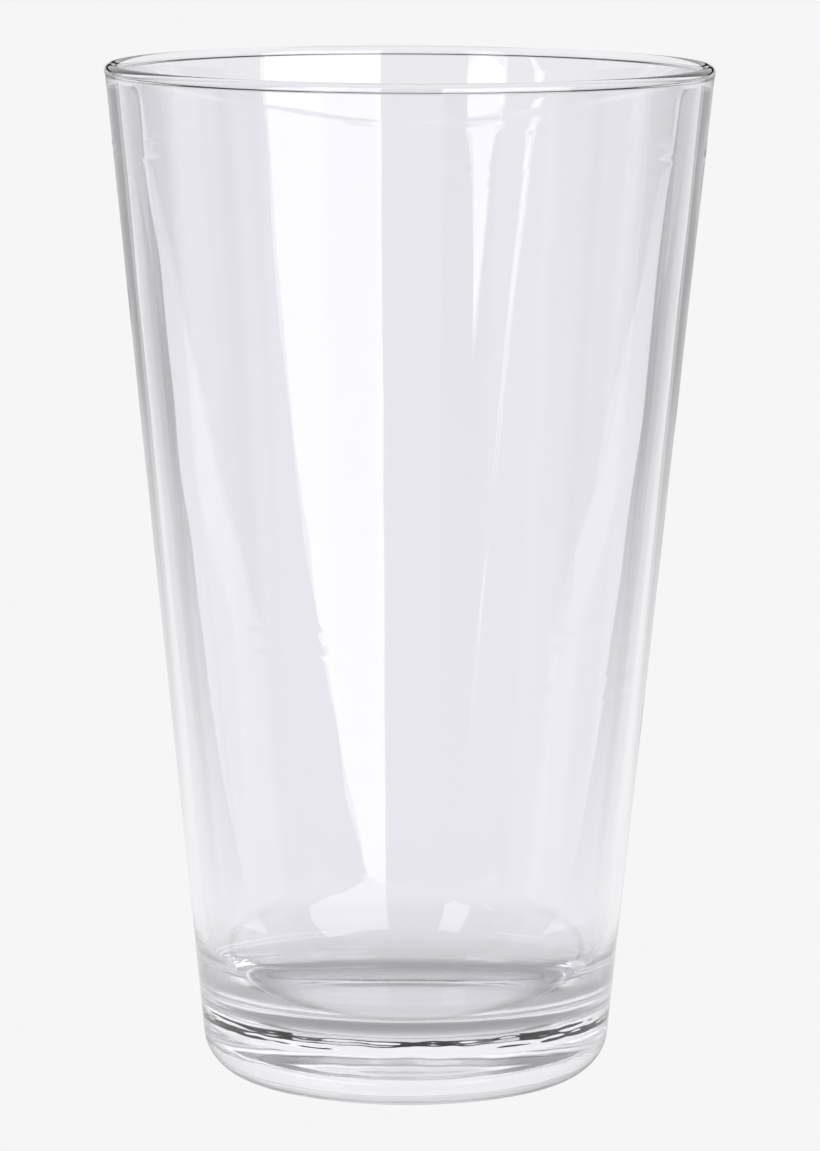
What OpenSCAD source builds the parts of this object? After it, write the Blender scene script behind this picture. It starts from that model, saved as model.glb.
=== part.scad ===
// Conical mixing glass: one piece of pressed, fire-polished clear glass.
// It stands on its foot ring at the origin with its mouth up along +Z, and every
// surface of it is a surface of revolution about Z. Millimetres.

/* [Body] */
// Height from the table to the top of the rim
height = 149.2; // [135:0.1:165]
// Outer diameter of the rim at its widest
rim_diameter = 88.9; // [84:0.1:96]
// Diameter of the outer wall's cone where it would meet the table
foot_diameter = 58.6; // [54:0.1:64]

/* [Wall] */
// Thickness of the wall just under the rim
wall_at_rim = 1.9; // [1.3:0.1:3]
// Thickness of the wall at the floor of the cavity
wall_at_floor = 1.9; // [1.5:0.1:4]

/* [Rim] */
// How far the rim's round fire-polished edge stands out of the outer wall
bead_proud = 0.06; // [0.02:0.02:0.4]
// How far the rim's round edge stands in from the inner wall
bead_inset = 0.04; // [0.02:0.02:0.4]
// Radius of the hollows that blend the round edge into the wall, outside and inside
bead_blend = 2; // [1:0.5:4]

/* [Base] */
// Height of the edge of the cavity's floor above the table
floor_height = 10.2; // [8:0.1:14]
// How far the middle of the cavity's floor dips below its edge
floor_dish = 0.4; // [0.1:0.1:1.5]
// Angle at which the sweep meets the floor, which leaves a crisp edge there
floor_corner = 14; // [5:1:25]
// Radius of the tight lower part of the sweep from the floor to the wall
low_sweep = 7; // [5:0.5:9]
// Radius of the gentle upper part of the sweep
high_sweep = 16; // [10:0.5:20]
// Radius of the rounded heel between the outer wall and the foot ring
heel_radius = 6.8; // [4:0.1:8]
// Width of the flat foot ring that the glass stands on
foot_ring_width = 2.5; // [1.5:0.5:5]
// Height of the shallow dome pushed up into the underside
push_up = 1.2; // [0.6:0.1:2]

/* [Hidden] */
glass_colour = [0.93, 0.95, 0.96, 0.35];
// Segments round the glass, and steps along each arc of its outline
$fn = 192;
arc_steps = 16;

// The rim's round edge, the bead: its radius, and its centre in the outline's plane
bead_radius = (wall_at_rim + bead_proud + bead_inset) / 2;
bead_r = rim_diameter / 2 - bead_radius;
bead_z = height - bead_radius;

// Outer and inner wall: straight lines that lean out towards the rim
outer_slope = (rim_diameter / 2 - bead_proud - foot_diameter / 2) / bead_z;
outer_lean = atan(outer_slope);
thinning = (wall_at_floor - wall_at_rim) / (bead_z - floor_height);
inner_slope = outer_slope + thinning;
inner_lean = atan(inner_slope);
function outer_r(z) = foot_diameter / 2 + outer_slope * z;
function inner_r(z) = outer_r(z) - wall_at_rim - thinning * (bead_z - z);

// Heel and underside dome: centres and radii of their arcs
heel_r = outer_r(heel_radius) - heel_radius / cos(outer_lean);
dome_edge = heel_r - foot_ring_width;
dome_radius = (dome_edge * dome_edge + push_up * push_up) / (2 * push_up);
dome_half_angle = asin(dome_edge / dome_radius);

// Sweep from the cavity's wall to its floor: two arcs that meet smoothly where the
// surface is this many degrees from level
sweep_change = 50;
low_z = floor_height + low_sweep * cos(floor_corner);
high_z = low_z + (high_sweep - low_sweep) * cos(sweep_change);
high_r = inner_r(high_z) - high_sweep / cos(inner_lean);
low_r = high_r + (high_sweep - low_sweep) * sin(sweep_change);

// Shallow dish of the cavity's floor
floor_r = low_r + low_sweep * sin(floor_corner);
dish_radius = (floor_r * floor_r + floor_dish * floor_dish) / (2 * floor_dish);
dish_half_angle = asin(floor_r / dish_radius);

// Blend hollows: each arc touches the bead and one side of the wall. gap is how far
// that side of the wall lies from the bead's centre, and drop is how far below the
// bead's centre the hollow's centre sits, measured along the wall.
outer_gap = (outer_r(bead_z) - bead_r) * cos(outer_lean);
inner_gap = (bead_r - inner_r(bead_z)) * cos(inner_lean);
function drop(gap) = sqrt(pow(bead_radius + bead_blend, 2) - pow(bead_blend + gap, 2));
function along(lean) = [sin(lean), cos(lean)];
function outward(lean) = [cos(lean), -sin(lean)];
outer_hollow = [bead_r, bead_z] + (bead_blend + outer_gap) * outward(outer_lean)
    - drop(outer_gap) * along(outer_lean);
inner_hollow = [bead_r, bead_z] - (bead_blend + inner_gap) * outward(inner_lean)
    - drop(inner_gap) * along(inner_lean);
function angle_to_bead(p) = atan2(bead_z - p[1], bead_r - p[0]);

// Points of an arc about centre, from angle a to angle b
function arc(centre, radius, a, b) =
    [for (i = [0:arc_steps]) let (t = a + (b - a) * i / arc_steps)
        centre + radius * [cos(t), sin(t)]];

// Half of the glass's section, from the underside's centre out, up and over the rim,
// and down the cavity to the centre of its floor
outline = concat(
    arc([0, push_up - dome_radius], dome_radius, 90, 90 - dome_half_angle),
    arc([heel_r, heel_radius], heel_radius, -90, -outer_lean),
    arc(outer_hollow, bead_blend, 180 - outer_lean, angle_to_bead(outer_hollow)),
    arc([bead_r, bead_z], bead_radius, angle_to_bead(outer_hollow) - 180,
        angle_to_bead(inner_hollow) + 180),
    arc(inner_hollow, bead_blend, angle_to_bead(inner_hollow), -inner_lean),
    arc([high_r, high_z], high_sweep, -inner_lean, sweep_change - 90),
    arc([low_r, low_z], low_sweep, sweep_change - 90, floor_corner - 90),
    arc([0, floor_height - floor_dish + dish_radius], dish_radius, dish_half_angle - 90, -90)
);

module glass() {
    color(glass_colour)
    rotate_extrude()
    polygon(outline);
}

glass();
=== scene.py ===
"""The looks of the mixing glass: one finely turned piece of clear pressed glass that
stands for the CAD solid, on a pale floor in soft studio light. The studio is in metres;
the glass is worked out in millimetres and brought to metres as its mesh is made."""
import math

import bpy
from mathutils import Matrix, Vector, noise

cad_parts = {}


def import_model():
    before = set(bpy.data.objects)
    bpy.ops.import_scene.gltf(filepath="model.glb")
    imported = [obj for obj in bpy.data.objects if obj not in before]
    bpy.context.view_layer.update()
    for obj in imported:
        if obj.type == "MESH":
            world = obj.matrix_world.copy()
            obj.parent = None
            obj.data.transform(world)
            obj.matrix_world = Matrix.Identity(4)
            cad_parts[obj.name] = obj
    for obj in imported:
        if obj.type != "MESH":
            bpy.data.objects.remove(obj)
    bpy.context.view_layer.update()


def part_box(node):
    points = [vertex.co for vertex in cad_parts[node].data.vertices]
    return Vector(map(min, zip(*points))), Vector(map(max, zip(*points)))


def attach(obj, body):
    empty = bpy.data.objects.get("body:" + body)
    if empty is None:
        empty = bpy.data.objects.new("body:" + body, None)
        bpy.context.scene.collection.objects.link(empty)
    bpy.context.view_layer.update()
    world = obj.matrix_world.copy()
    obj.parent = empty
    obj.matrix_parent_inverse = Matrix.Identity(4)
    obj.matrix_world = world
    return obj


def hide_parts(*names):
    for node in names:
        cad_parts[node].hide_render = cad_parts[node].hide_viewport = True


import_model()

MM = 0.001

# ---- The glass's own dimensions. Height and rim come from the CAD solid; the rest
# ---- repeat the CAD model's dimensions, in millimetres.
LOW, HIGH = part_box("glass")
HEIGHT = (HIGH.z - LOW.z) / MM
RIM_RADIUS = (HIGH.x - LOW.x) / 2 / MM
FOOT_RADIUS = 29.3
WALL_AT_RIM = 1.9
WALL_AT_FLOOR = 1.9
BEAD_PROUD = 0.06
BEAD_INSET = 0.04
BEAD_RADIUS = (WALL_AT_RIM + BEAD_PROUD + BEAD_INSET) / 2
BEAD_BLEND = 2.0
FLOOR = 10.2
FLOOR_DISH = 0.4
FLOOR_CORNER = math.radians(14)
LOW_SWEEP = 7.0
HIGH_SWEEP = 16.0
SWEEP_CHANGE = math.radians(-40)
HEEL = 6.8
FOOT_RING = 2.5
PUSH_UP = 1.2

# ---- Fineness of the turned mesh: steps round the glass, and the longest steps along
# ---- its outline in millimetres. Beside each mark the wall takes short steps.
SEGMENTS = 288
ARC_STEP = math.radians(5)
FLAT_STEP = 1.6
WALL_STEP = 2.0
FINE_STEP = 0.16
FINE_STEPS = 8
DOME_RINGS = 12

# ---- How far the surface of pressed glass strays, and how broad its waves and marks
# ---- are, in millimetres
WALL_WAVE = 0.012
WALL_WAVE_SPAN = 13
HEEL_WAVE = 0.035
HEEL_WAVE_SPAN = 4.5
HEEL_FADE = 3
RIM_SMOOTH = 5
RIM_FADE = 8
FOOT_FADE = 1.5
PLUNGER_MARKS = (59.0, 62.5, 137.0)
RING_MARK = 0.02
RING_LEAST = 0.4
RING_SPAN = 17
RING_WIDTH = 0.6
SEAM_HEIGHT = 9.9
SEAM_RIDGE = 0.022
SEAM_LEAST = 0.7
SEAM_SPAN = 3
SEAM_WIDTH = 0.3
SEAM_OFFSETS = (-0.45, 0.45)
SEAM_SHIFT = 9
SEAM_JITTER = 0.16
SEAM_JITTER_SPAN = 1.6
SEAM_WANDER = 0.3
SEAM_WANDER_SPAN = 9

# ---- The glass's finish. Zones are heights in millimetres, and scales are features per
# ---- metre along each axis.
TINT = (0.955, 0.955, 0.985, 1)
REFRACTION = 1.517
POLISH = 0.004
FILM_SCALE = (45, 45, 30)
HEEL_FROST = 0.12
HEEL_FROST_ZONE = (6, 9.5)
MOTTLE_SCALE = (110, 110, 110)
FOOT_SCUFF = 0.3
FOOT_SCUFF_ZONE = (0.05, 0.4)
RIPPLE = 0.005
RIPPLE_START = (12, 15)
RIPPLE_END = (20, 34)
RIPPLE_LEFT = 0.1
RIPPLE_SCALE = (30, 30, 900)


# ---- Outline -------------------------------------------------------------------------
def unit(angle):
    return Vector((math.cos(angle), math.sin(angle)))


def arc(centre, radius, start, end):
    """Points of an arc, its first and last included."""
    turn = abs(end - start)
    steps = max(2, math.ceil(turn / ARC_STEP), math.ceil(turn * radius / FLAT_STEP))
    return [centre + radius * unit(start + (end - start) * i / steps) for i in range(steps + 1)]


def wall(start, end, marks):
    """Points between start and end, closer together near each marked height."""
    span = end - start
    steps = round(span.length / WALL_STEP)
    fine = FINE_STEP / span.length
    places = {i / steps for i in range(1, steps)}
    for mark in marks:
        centre = (mark - start.y) / span.y
        places = {t for t in places if abs(t - centre) > (FINE_STEPS + 0.5) * fine}
        places |= {centre + i * fine for i in range(-FINE_STEPS, FINE_STEPS + 1)}
    return [start.lerp(end, t) for t in sorted(places) if 0 < t < 1]


def outline():
    """Half of the section as points (radius, height), in two lists: from the underside's
    centre out, up and over the rim, and from there down to the centre of the cavity's
    floor."""
    bead = Vector((RIM_RADIUS - BEAD_RADIUS, HEIGHT - BEAD_RADIUS))
    slope = (RIM_RADIUS - BEAD_PROUD - FOOT_RADIUS) / bead.y
    thinning = (WALL_AT_FLOOR - WALL_AT_RIM) / (bead.y - FLOOR)
    lean, inner_lean = math.atan(slope), math.atan(slope + thinning)

    def outer_r(z):
        return FOOT_RADIUS + slope * z

    def inner_r(z):
        return outer_r(z) - WALL_AT_RIM - thinning * (bead.y - z)

    def hollow(gap, side, tilt):
        """Centre of the hollow that blends the bead into one side of the wall."""
        drop = math.sqrt((BEAD_RADIUS + BEAD_BLEND) ** 2 - (BEAD_BLEND + gap) ** 2)
        return bead + side * (BEAD_BLEND + gap) * unit(-tilt) - drop * unit(math.pi / 2 - tilt)

    def to_bead(p):
        return math.atan2(bead.y - p.y, bead.x - p.x)

    heel = Vector((outer_r(HEEL) - HEEL / math.cos(lean), HEEL))
    low_z = FLOOR + LOW_SWEEP * math.cos(FLOOR_CORNER)
    high_z = low_z - (HIGH_SWEEP - LOW_SWEEP) * math.sin(SWEEP_CHANGE)
    high = Vector((inner_r(high_z) - HIGH_SWEEP / math.cos(inner_lean), high_z))
    low = high + (HIGH_SWEEP - LOW_SWEEP) * unit(SWEEP_CHANGE)
    floor_edge = low + LOW_SWEEP * unit(FLOOR_CORNER - math.pi / 2)
    dish_radius = (floor_edge.x ** 2 + FLOOR_DISH ** 2) / (2 * FLOOR_DISH)
    dish = Vector((0, FLOOR - FLOOR_DISH + dish_radius))
    dome_edge = heel.x - FOOT_RING
    dome_radius = (dome_edge ** 2 + PUSH_UP ** 2) / (2 * PUSH_UP)
    outside = hollow((outer_r(bead.y) - bead.x) * math.cos(lean), 1, lean)
    inside = hollow((bead.x - inner_r(bead.y)) * math.cos(inner_lean), -1, inner_lean)
    down = -math.pi / 2

    under = [Vector((dome_edge * math.sqrt(i / DOME_RINGS), 0)) for i in range(DOME_RINGS + 1)]
    for p in under:
        p.y = PUSH_UP - dome_radius + math.sqrt(dome_radius ** 2 - p.x ** 2)
    heel_arc = arc(heel, HEEL, down, -lean)
    outer_hollow = arc(outside, BEAD_BLEND, math.pi - lean, to_bead(outside))
    bead_arc = arc(bead, BEAD_RADIUS, to_bead(outside) - math.pi, to_bead(inside) + math.pi)
    inner_hollow = arc(inside, BEAD_BLEND, to_bead(inside), -inner_lean)
    sweep_arc = arc(high, HIGH_SWEEP, -inner_lean, SWEEP_CHANGE)
    sweep_arc += arc(low, LOW_SWEEP, SWEEP_CHANGE, FLOOR_CORNER + down)[1:]
    dish_start = math.asin(floor_edge.x / dish_radius)
    dish_arc = arc(dish, dish_radius, down + dish_start, down)[1:]
    outside_points = (under + heel_arc + wall(heel_arc[-1], outer_hollow[0], (SEAM_HEIGHT,))
                      + outer_hollow + bead_arc[1:-1])
    inside_points = (inner_hollow + wall(inner_hollow[-1], sweep_arc[0], PLUNGER_MARKS)
                     + sweep_arc + dish_arc)
    return outside_points, inside_points


def clamp(value):
    return min(1, max(0, value))


def swell(height, middle, width):
    """1 at the middle height, and nearly 0 at twice the width from it."""
    return math.exp(-((height - middle) / width) ** 2)


def stray(spot, inner):
    """How far the pressed surface strays out of the glass at a spot, in millimetres. It
    fades to nothing at the rim, which the fire smooths, and at the foot."""
    z = spot.z
    fade = clamp((HEIGHT - RIM_SMOOTH - z) / RIM_FADE) * clamp(z / FOOT_FADE)
    amount = WALL_WAVE * noise.noise(spot / WALL_WAVE_SPAN)
    if inner:
        for mark in PLUNGER_MARKS:
            depth = RING_LEAST + noise.noise(spot / RING_SPAN)
            amount += RING_MARK * depth * swell(z, mark, RING_WIDTH)
        return amount * fade
    amount += HEEL_WAVE * noise.noise(spot / HEEL_WAVE_SPAN) * clamp((SEAM_HEIGHT - z) / HEEL_FADE)
    wander = SEAM_HEIGHT + SEAM_JITTER * noise.noise(spot / SEAM_JITTER_SPAN)
    wander += SEAM_WANDER * noise.noise(spot / SEAM_WANDER_SPAN)
    for offset in SEAM_OFFSETS:
        shifted = spot / SEAM_SPAN + Vector((SEAM_SHIFT * offset, 0, 0))
        ridge = SEAM_RIDGE * (SEAM_LEAST + noise.noise(shifted))
        amount += ridge * swell(z, wander + offset, SEAM_WIDTH)
    return amount * fade


# ---- Glass ---------------------------------------------------------------------------
def turned(name, outside_points, inside_points):
    """A closed mesh turned about Z from an outline that starts and ends on the axis,
    with the slight unevenness of pressed glass."""
    points = outside_points + inside_points
    vertices = [(0, 0, points[0].y)]
    for i in range(1, len(points) - 1):
        along = (points[i + 1] - points[i - 1]).normalized()
        inner = i >= len(outside_points)
        for k in range(SEGMENTS):
            spoke = unit(2 * math.pi * k / SEGMENTS)
            spot = Vector((*(spoke * points[i].x), points[i].y))
            outwards = Vector((*(spoke * along.y), -along.x))
            vertices.append(spot + outwards * stray(spot, inner))
    vertices.append((0, 0, points[-1].y))
    top = len(vertices) - 1
    rings = len(points) - 2
    faces = []
    for k in range(SEGMENTS):
        j = (k + 1) % SEGMENTS
        faces.append((0, 1 + j, 1 + k))
        for ring in range(rings - 1):
            a = 1 + ring * SEGMENTS
            b = a + SEGMENTS
            faces.append((a + k, a + j, b + j, b + k))
        last = 1 + (rings - 1) * SEGMENTS
        faces.append((last + k, last + j, top))
    mesh = bpy.data.meshes.new(name)
    mesh.from_pydata([tuple(c * MM for c in v) for v in vertices], [], faces)
    mesh.update()
    mesh.shade_smooth()
    piece = bpy.data.objects.new(name, mesh)
    bpy.context.scene.collection.objects.link(piece)
    return piece


def clear_glass():
    """Clear soda-lime glass: fire-polished above, softly mottled on the heel, with faint
    flow ripples low on the walls and a scuffed foot ring."""
    material = bpy.data.materials.new("clear_glass")
    material.use_nodes = True
    nodes, links = material.node_tree.nodes, material.node_tree.links
    shader = nodes["Principled BSDF"]
    shader.inputs["Base Color"].default_value = TINT
    shader.inputs["Transmission Weight"].default_value = 1
    shader.inputs["IOR"].default_value = REFRACTION

    place = nodes.new("ShaderNodeTexCoord").outputs["Object"]
    split = nodes.new("ShaderNodeSeparateXYZ")
    links.new(place, split.inputs[0])

    def math_node(kind, a, b):
        node = nodes.new("ShaderNodeMath")
        node.operation = kind
        for socket, value in zip(node.inputs, (a, b)):
            if isinstance(value, (int, float)):
                socket.default_value = value
            else:
                links.new(value, socket)
        return node.outputs[0]

    def between(zone, at_low, at_high):
        """A value that changes with height through a zone."""
        low, high = zone
        node = nodes.new("ShaderNodeMapRange")
        links.new(split.outputs["Z"], node.inputs["Value"])
        numbers = {"From Min": low * MM, "From Max": high * MM, "To Min": at_low, "To Max": at_high}
        for socket, number in numbers.items():
            node.inputs[socket].default_value = number
        return node.outputs["Result"]

    def clouds(scale, detail):
        """Noise at a scale."""
        stretch = nodes.new("ShaderNodeMapping")
        stretch.inputs["Scale"].default_value = scale
        links.new(place, stretch.inputs["Vector"])
        node = nodes.new("ShaderNodeTexNoise")
        node.inputs["Scale"].default_value = 1
        node.inputs["Detail"].default_value = detail
        links.new(stretch.outputs[0], node.inputs["Vector"])
        return node.outputs[0]

    heel = between(HEEL_FROST_ZONE, HEEL_FROST, 0)
    scuff = between(FOOT_SCUFF_ZONE, FOOT_SCUFF, 0)
    mottle = math_node("MULTIPLY", heel, clouds(MOTTLE_SCALE, detail=3))
    film = math_node("MULTIPLY", clouds(FILM_SCALE, detail=2), POLISH)
    total = math_node("ADD", math_node("ADD", mottle, scuff), film)
    links.new(total, shader.inputs["Roughness"])

    low_wall = math_node("MULTIPLY", between(RIPPLE_START, 0, 1), between(RIPPLE_END, 1, RIPPLE_LEFT))
    ripple = math_node("MULTIPLY", clouds(RIPPLE_SCALE, detail=2), low_wall)
    bump = nodes.new("ShaderNodeBump")
    bump.inputs["Strength"].default_value = 1
    bump.inputs["Distance"].default_value = RIPPLE * MM
    links.new(ripple, bump.inputs["Height"])
    links.new(bump.outputs[0], shader.inputs["Normal"])
    return material


def build():
    glass = turned("mixing_glass", *outline())
    glass.data.materials.append(clear_glass())
    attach(glass, "root")
    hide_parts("glass")


# ---- Studio: brightnesses, distances and heights in metres, and azimuths in degrees from
# ---- straight behind the glass towards +X. A graded light is a list of stops, each a
# ---- share of the way and a brightness.
SIDES = 96
PANEL_STEPS = 12
BLACK = 0.02
FLOOR_LIGHT = 0.92
FLOOR_REACH = 9
FLOOR_DROP = 0.1 * MM
SHADOW_DROP = 0.05 * MM
SHADOW_REACH = 0.2
SHADOW = ((0, 0.7), (0.08, 0.68), (0.115, 0.4), (0.15, 0.27), (0.18, 0.36), (0.21, 0.62), (0.3, 0.8),
          (0.58, 0.9), (1, 0.92))
FLAG_COUNT = 8
FLAG_TIP = 0.06
FLAG_REACH = 2.5
FLAG_HALF = math.radians(11.5)
FLAG_LIFT = 0.5 * MM
FLAGS = ((0.03, 0.92), (0.3, 0.4))
SKY = ((0, 0.92), (0.3, 0.97), (0.7, 0.92), (1, 0.8))
HORIZON = 58
FLOOR_END = 1.1 * HORIZON
BACK_HORIZON = 0.72
BACK_HALF = 24
LINE_SLOPES = (0.065, 0.1233)
DIM_FRONT = 0.3
DIM_DISTANCE = 1.8
DIM_EDGES = (100, 260)
DIM_TOP = 6
SOFTBOX = 3.2
SOFTBOX_DISTANCE = 1.0
SOFTBOX_TOP = 0.95
RIGHT_EDGES = (117, 168)
RIGHT_HEIGHTS = (0, 0.05, 0.1, 0.15, 0.2, 0.26)
RIGHT_CURVE = 2.6
LEFT_EDGES = (-156, -140)
LEFT_TIP = ((0.19, -150, -150.2), (0.25, -152.4, -144.8))
LEFT_SHOULDER = 0.275
STRIP_DISTANCE = 0.98
STRIP = ((0.06, -145.6, -145.8), (0.105, -141, -141.7), (0.274, -126, -122.4))
BOUNCES = 64


def glow(name, brightness):
    """A plain surface that gives off even white light."""
    material = bpy.data.materials.new(name)
    material.use_nodes = True
    nodes = material.node_tree.nodes
    nodes.clear()
    emission = nodes.new("ShaderNodeEmission")
    emission.inputs["Color"].default_value = (1, 1, 1, 1)
    emission.inputs["Strength"].default_value = brightness
    output = nodes.new("ShaderNodeOutputMaterial")
    material.node_tree.links.new(emission.outputs[0], output.inputs["Surface"])
    return material


def grade(ramp, stops):
    """Gives a ramp its grey stops, each a position and a value."""
    elements = ramp.color_ramp.elements
    elements[0].position, elements[1].position = stops[0][0], stops[-1][0]
    elements[0].color = (*[stops[0][1]] * 3, 1)
    elements[1].color = (*[stops[-1][1]] * 3, 1)
    for position, value in stops[1:-1]:
        elements.new(position).color = (value, value, value, 1)


def graded_glow(name, reach, stops):
    """A glow that changes with the distance from the glass's axis, out to a reach."""
    material = glow(name, 1)
    nodes, links = material.node_tree.nodes, material.node_tree.links
    place = nodes.new("ShaderNodeTexCoord")
    length = nodes.new("ShaderNodeVectorMath")
    length.operation = "LENGTH"
    ramp = nodes.new("ShaderNodeValToRGB")
    links.new(place.outputs["Object"], length.inputs[0])
    scale = nodes.new("ShaderNodeMath")
    scale.operation = "DIVIDE"
    scale.inputs[1].default_value = reach
    links.new(length.outputs["Value"], scale.inputs[0])
    links.new(scale.outputs[0], ramp.inputs[0])
    links.new(ramp.outputs["Color"], nodes["Emission"].inputs["Color"])
    grade(ramp, stops)
    return material


def stage_mesh(name, vertices, faces, material, seen=False):
    """A piece of the studio. Unless seen, the camera looks through it."""
    mesh = bpy.data.meshes.new(name)
    mesh.from_pydata(vertices, [], faces)
    mesh.materials.append(material)
    thing = bpy.data.objects.new(name, mesh)
    bpy.context.scene.collection.objects.link(thing)
    thing.visible_camera = seen
    return thing


def circle(radius, height):
    """Corners of a level circle round the glass's axis."""
    corners = [unit(2 * math.pi * k / SIDES) * radius for k in range(SIDES)]
    return [(c.x, c.y, height) for c in corners]


def panel(name, rows, distance, material):
    """An upright curved panel round the glass. Each row is (height, azimuth, azimuth)."""
    vertices, faces = [], []
    for height, start, end in rows:
        for i in range(PANEL_STEPS + 1):
            a = math.radians(start + (end - start) * i / PANEL_STEPS)
            vertices.append((distance * math.sin(a), distance * math.cos(a), height))
    for row in range(len(rows) - 1):
        for i in range(PANEL_STEPS):
            a = row * (PANEL_STEPS + 1) + i
            faces.append((a, a + 1, a + PANEL_STEPS + 2, a + PANEL_STEPS + 1))
    return stage_mesh(name, vertices, faces, material)


def floor():
    """A pale floor: a disc round the glass, and a ring from there out past the horizon."""
    vertices = []
    for radius in (FLOOR_REACH, FLOOR_END):
        vertices += circle(radius, LOW.z - FLOOR_DROP)
    faces = [tuple(range(SIDES))]
    for k in range(SIDES):
        j = (k + 1) % SIDES
        faces.append((k, SIDES + k, SIDES + j, j))
    stage_mesh("floor", vertices, faces, glow("pale_floor", FLOOR_LIGHT), seen=True)


def contact_shadow():
    """The soft shadow round the foot, which is seen only through the glass."""
    material = graded_glow("contact_shadow", SHADOW_REACH, SHADOW)
    vertices = circle(SHADOW_REACH, LOW.z - SHADOW_DROP)
    stage_mesh("contact_shadow", vertices, [tuple(range(SIDES))], material)


def floor_flags():
    """Grey flags that lie on the floor between clear lanes, and darken the glass's edges
    from every side."""
    vertices, faces = [], []
    for k in range(FLAG_COUNT):
        middle = math.radians(360 / FLAG_COUNT * (k + 0.5))
        tip = FLAG_TIP * unit(middle)
        left, right = (tip + FLAG_REACH * unit(middle + side * FLAG_HALF) for side in (-1, 1))
        vertices += [(p.x, p.y, FLAG_LIFT) for p in (tip, left, right)]
        faces.append((3 * k, 3 * k + 1, 3 * k + 2))
    stage_mesh("floor_flags", vertices, faces, graded_glow("grey_flags", FLAG_REACH, FLAGS))


def horizon():
    """A low black horizon all round, with a grey stretch straight behind the glass under
    a black line. It is far off, so that a level view through the walls hardly meets it."""
    dark = glow("black_flag", BLACK)
    grey = glow("grey_horizon", BACK_HORIZON)
    line_low, line_high = (slope * HORIZON for slope in LINE_SLOPES)
    for name, side in (("horizon_right", 1), ("horizon_left", -1)):
        edges = (side * BACK_HALF, side * 180)
        panel(name, [(0, *edges), (line_high, *edges)], HORIZON, dark)
    back = (-BACK_HALF, BACK_HALF)
    panel("horizon_back", [(0, *back), (line_low, *back)], HORIZON, grey)
    panel("horizon_line", [(line_low, *back), (line_high, *back)], HORIZON, dark)


def lights():
    """A dim panel in front of the glass, and nearer than it two softboxes and a narrow
    strip, which make the long bright bands on the wall."""
    panel("dim_front", [(0, *DIM_EDGES), (DIM_TOP, *DIM_EDGES)], DIM_DISTANCE, glow("dim_front", DIM_FRONT))
    soft = glow("softbox", SOFTBOX)
    near, far = RIGHT_EDGES
    rows = []
    for height in RIGHT_HEIGHTS:
        share = 1 - height / RIGHT_HEIGHTS[-1]
        rows.append((height, near + (far - near) * share ** RIGHT_CURVE, far))
    panel("softbox_right", [*rows, (SOFTBOX_TOP, near, far)], SOFTBOX_DISTANCE, soft)
    rows = [*LEFT_TIP, (LEFT_SHOULDER, *LEFT_EDGES), (SOFTBOX_TOP, *LEFT_EDGES)]
    panel("softbox_left", rows, SOFTBOX_DISTANCE, soft)
    panel("strip_left", STRIP, STRIP_DISTANCE, soft)


def world():
    """Sky-like light that changes gently with height."""
    sky = bpy.data.worlds.new("studio")
    bpy.context.scene.world = sky
    sky.use_nodes = True
    nodes, links = sky.node_tree.nodes, sky.node_tree.links
    nodes.clear()
    place = nodes.new("ShaderNodeTexCoord")
    split = nodes.new("ShaderNodeSeparateXYZ")
    ramp = nodes.new("ShaderNodeValToRGB")
    back = nodes.new("ShaderNodeBackground")
    output = nodes.new("ShaderNodeOutputWorld")
    links.new(place.outputs["Generated"], split.inputs[0])
    links.new(split.outputs["Z"], ramp.inputs[0])
    links.new(ramp.outputs["Color"], back.inputs["Color"])
    links.new(back.outputs[0], output.inputs["Surface"])
    grade(ramp, SKY)


def camera():
    """A camera in front of the glass, pitched down and a touch rolled, in radians."""
    pitch, roll = 0.1468, 0.0044
    ahead = Vector((0, math.cos(pitch), -math.sin(pitch)))
    above = Vector((0, math.sin(pitch), math.cos(pitch)))
    right = Vector((1, 0, 0))
    x_axis = right * math.cos(roll) + above * math.sin(roll)
    y_axis = above * math.cos(roll) - right * math.sin(roll)
    place = Vector((-0.0002, -0.881, 0.2048))
    data = bpy.data.cameras.new("camera")
    data.sensor_width = 36
    data.lens = 189.4
    data.shift_x, data.shift_y = 0.0032, -0.0030
    data.clip_start, data.clip_end = 0.01, 100
    holder = bpy.data.objects.new("camera", data)
    bpy.context.scene.collection.objects.link(holder)
    rows = [(*row, p) for row, p in zip(zip(x_axis, y_axis, -ahead), place)]
    holder.matrix_world = Matrix(rows + [(0, 0, 0, 1)])
    bpy.context.scene.camera = holder


def settings():
    """Plain colours, and enough bounces for light to find its way out of the thick base."""
    bpy.context.scene.view_settings.view_transform = "Standard"
    cycles = bpy.context.scene.cycles
    cycles.max_bounces = BOUNCES
    cycles.transmission_bounces = BOUNCES
    cycles.glossy_bounces = BOUNCES


build()
floor()
contact_shadow()
floor_flags()
horizon()
lights()
world()
camera()
settings()
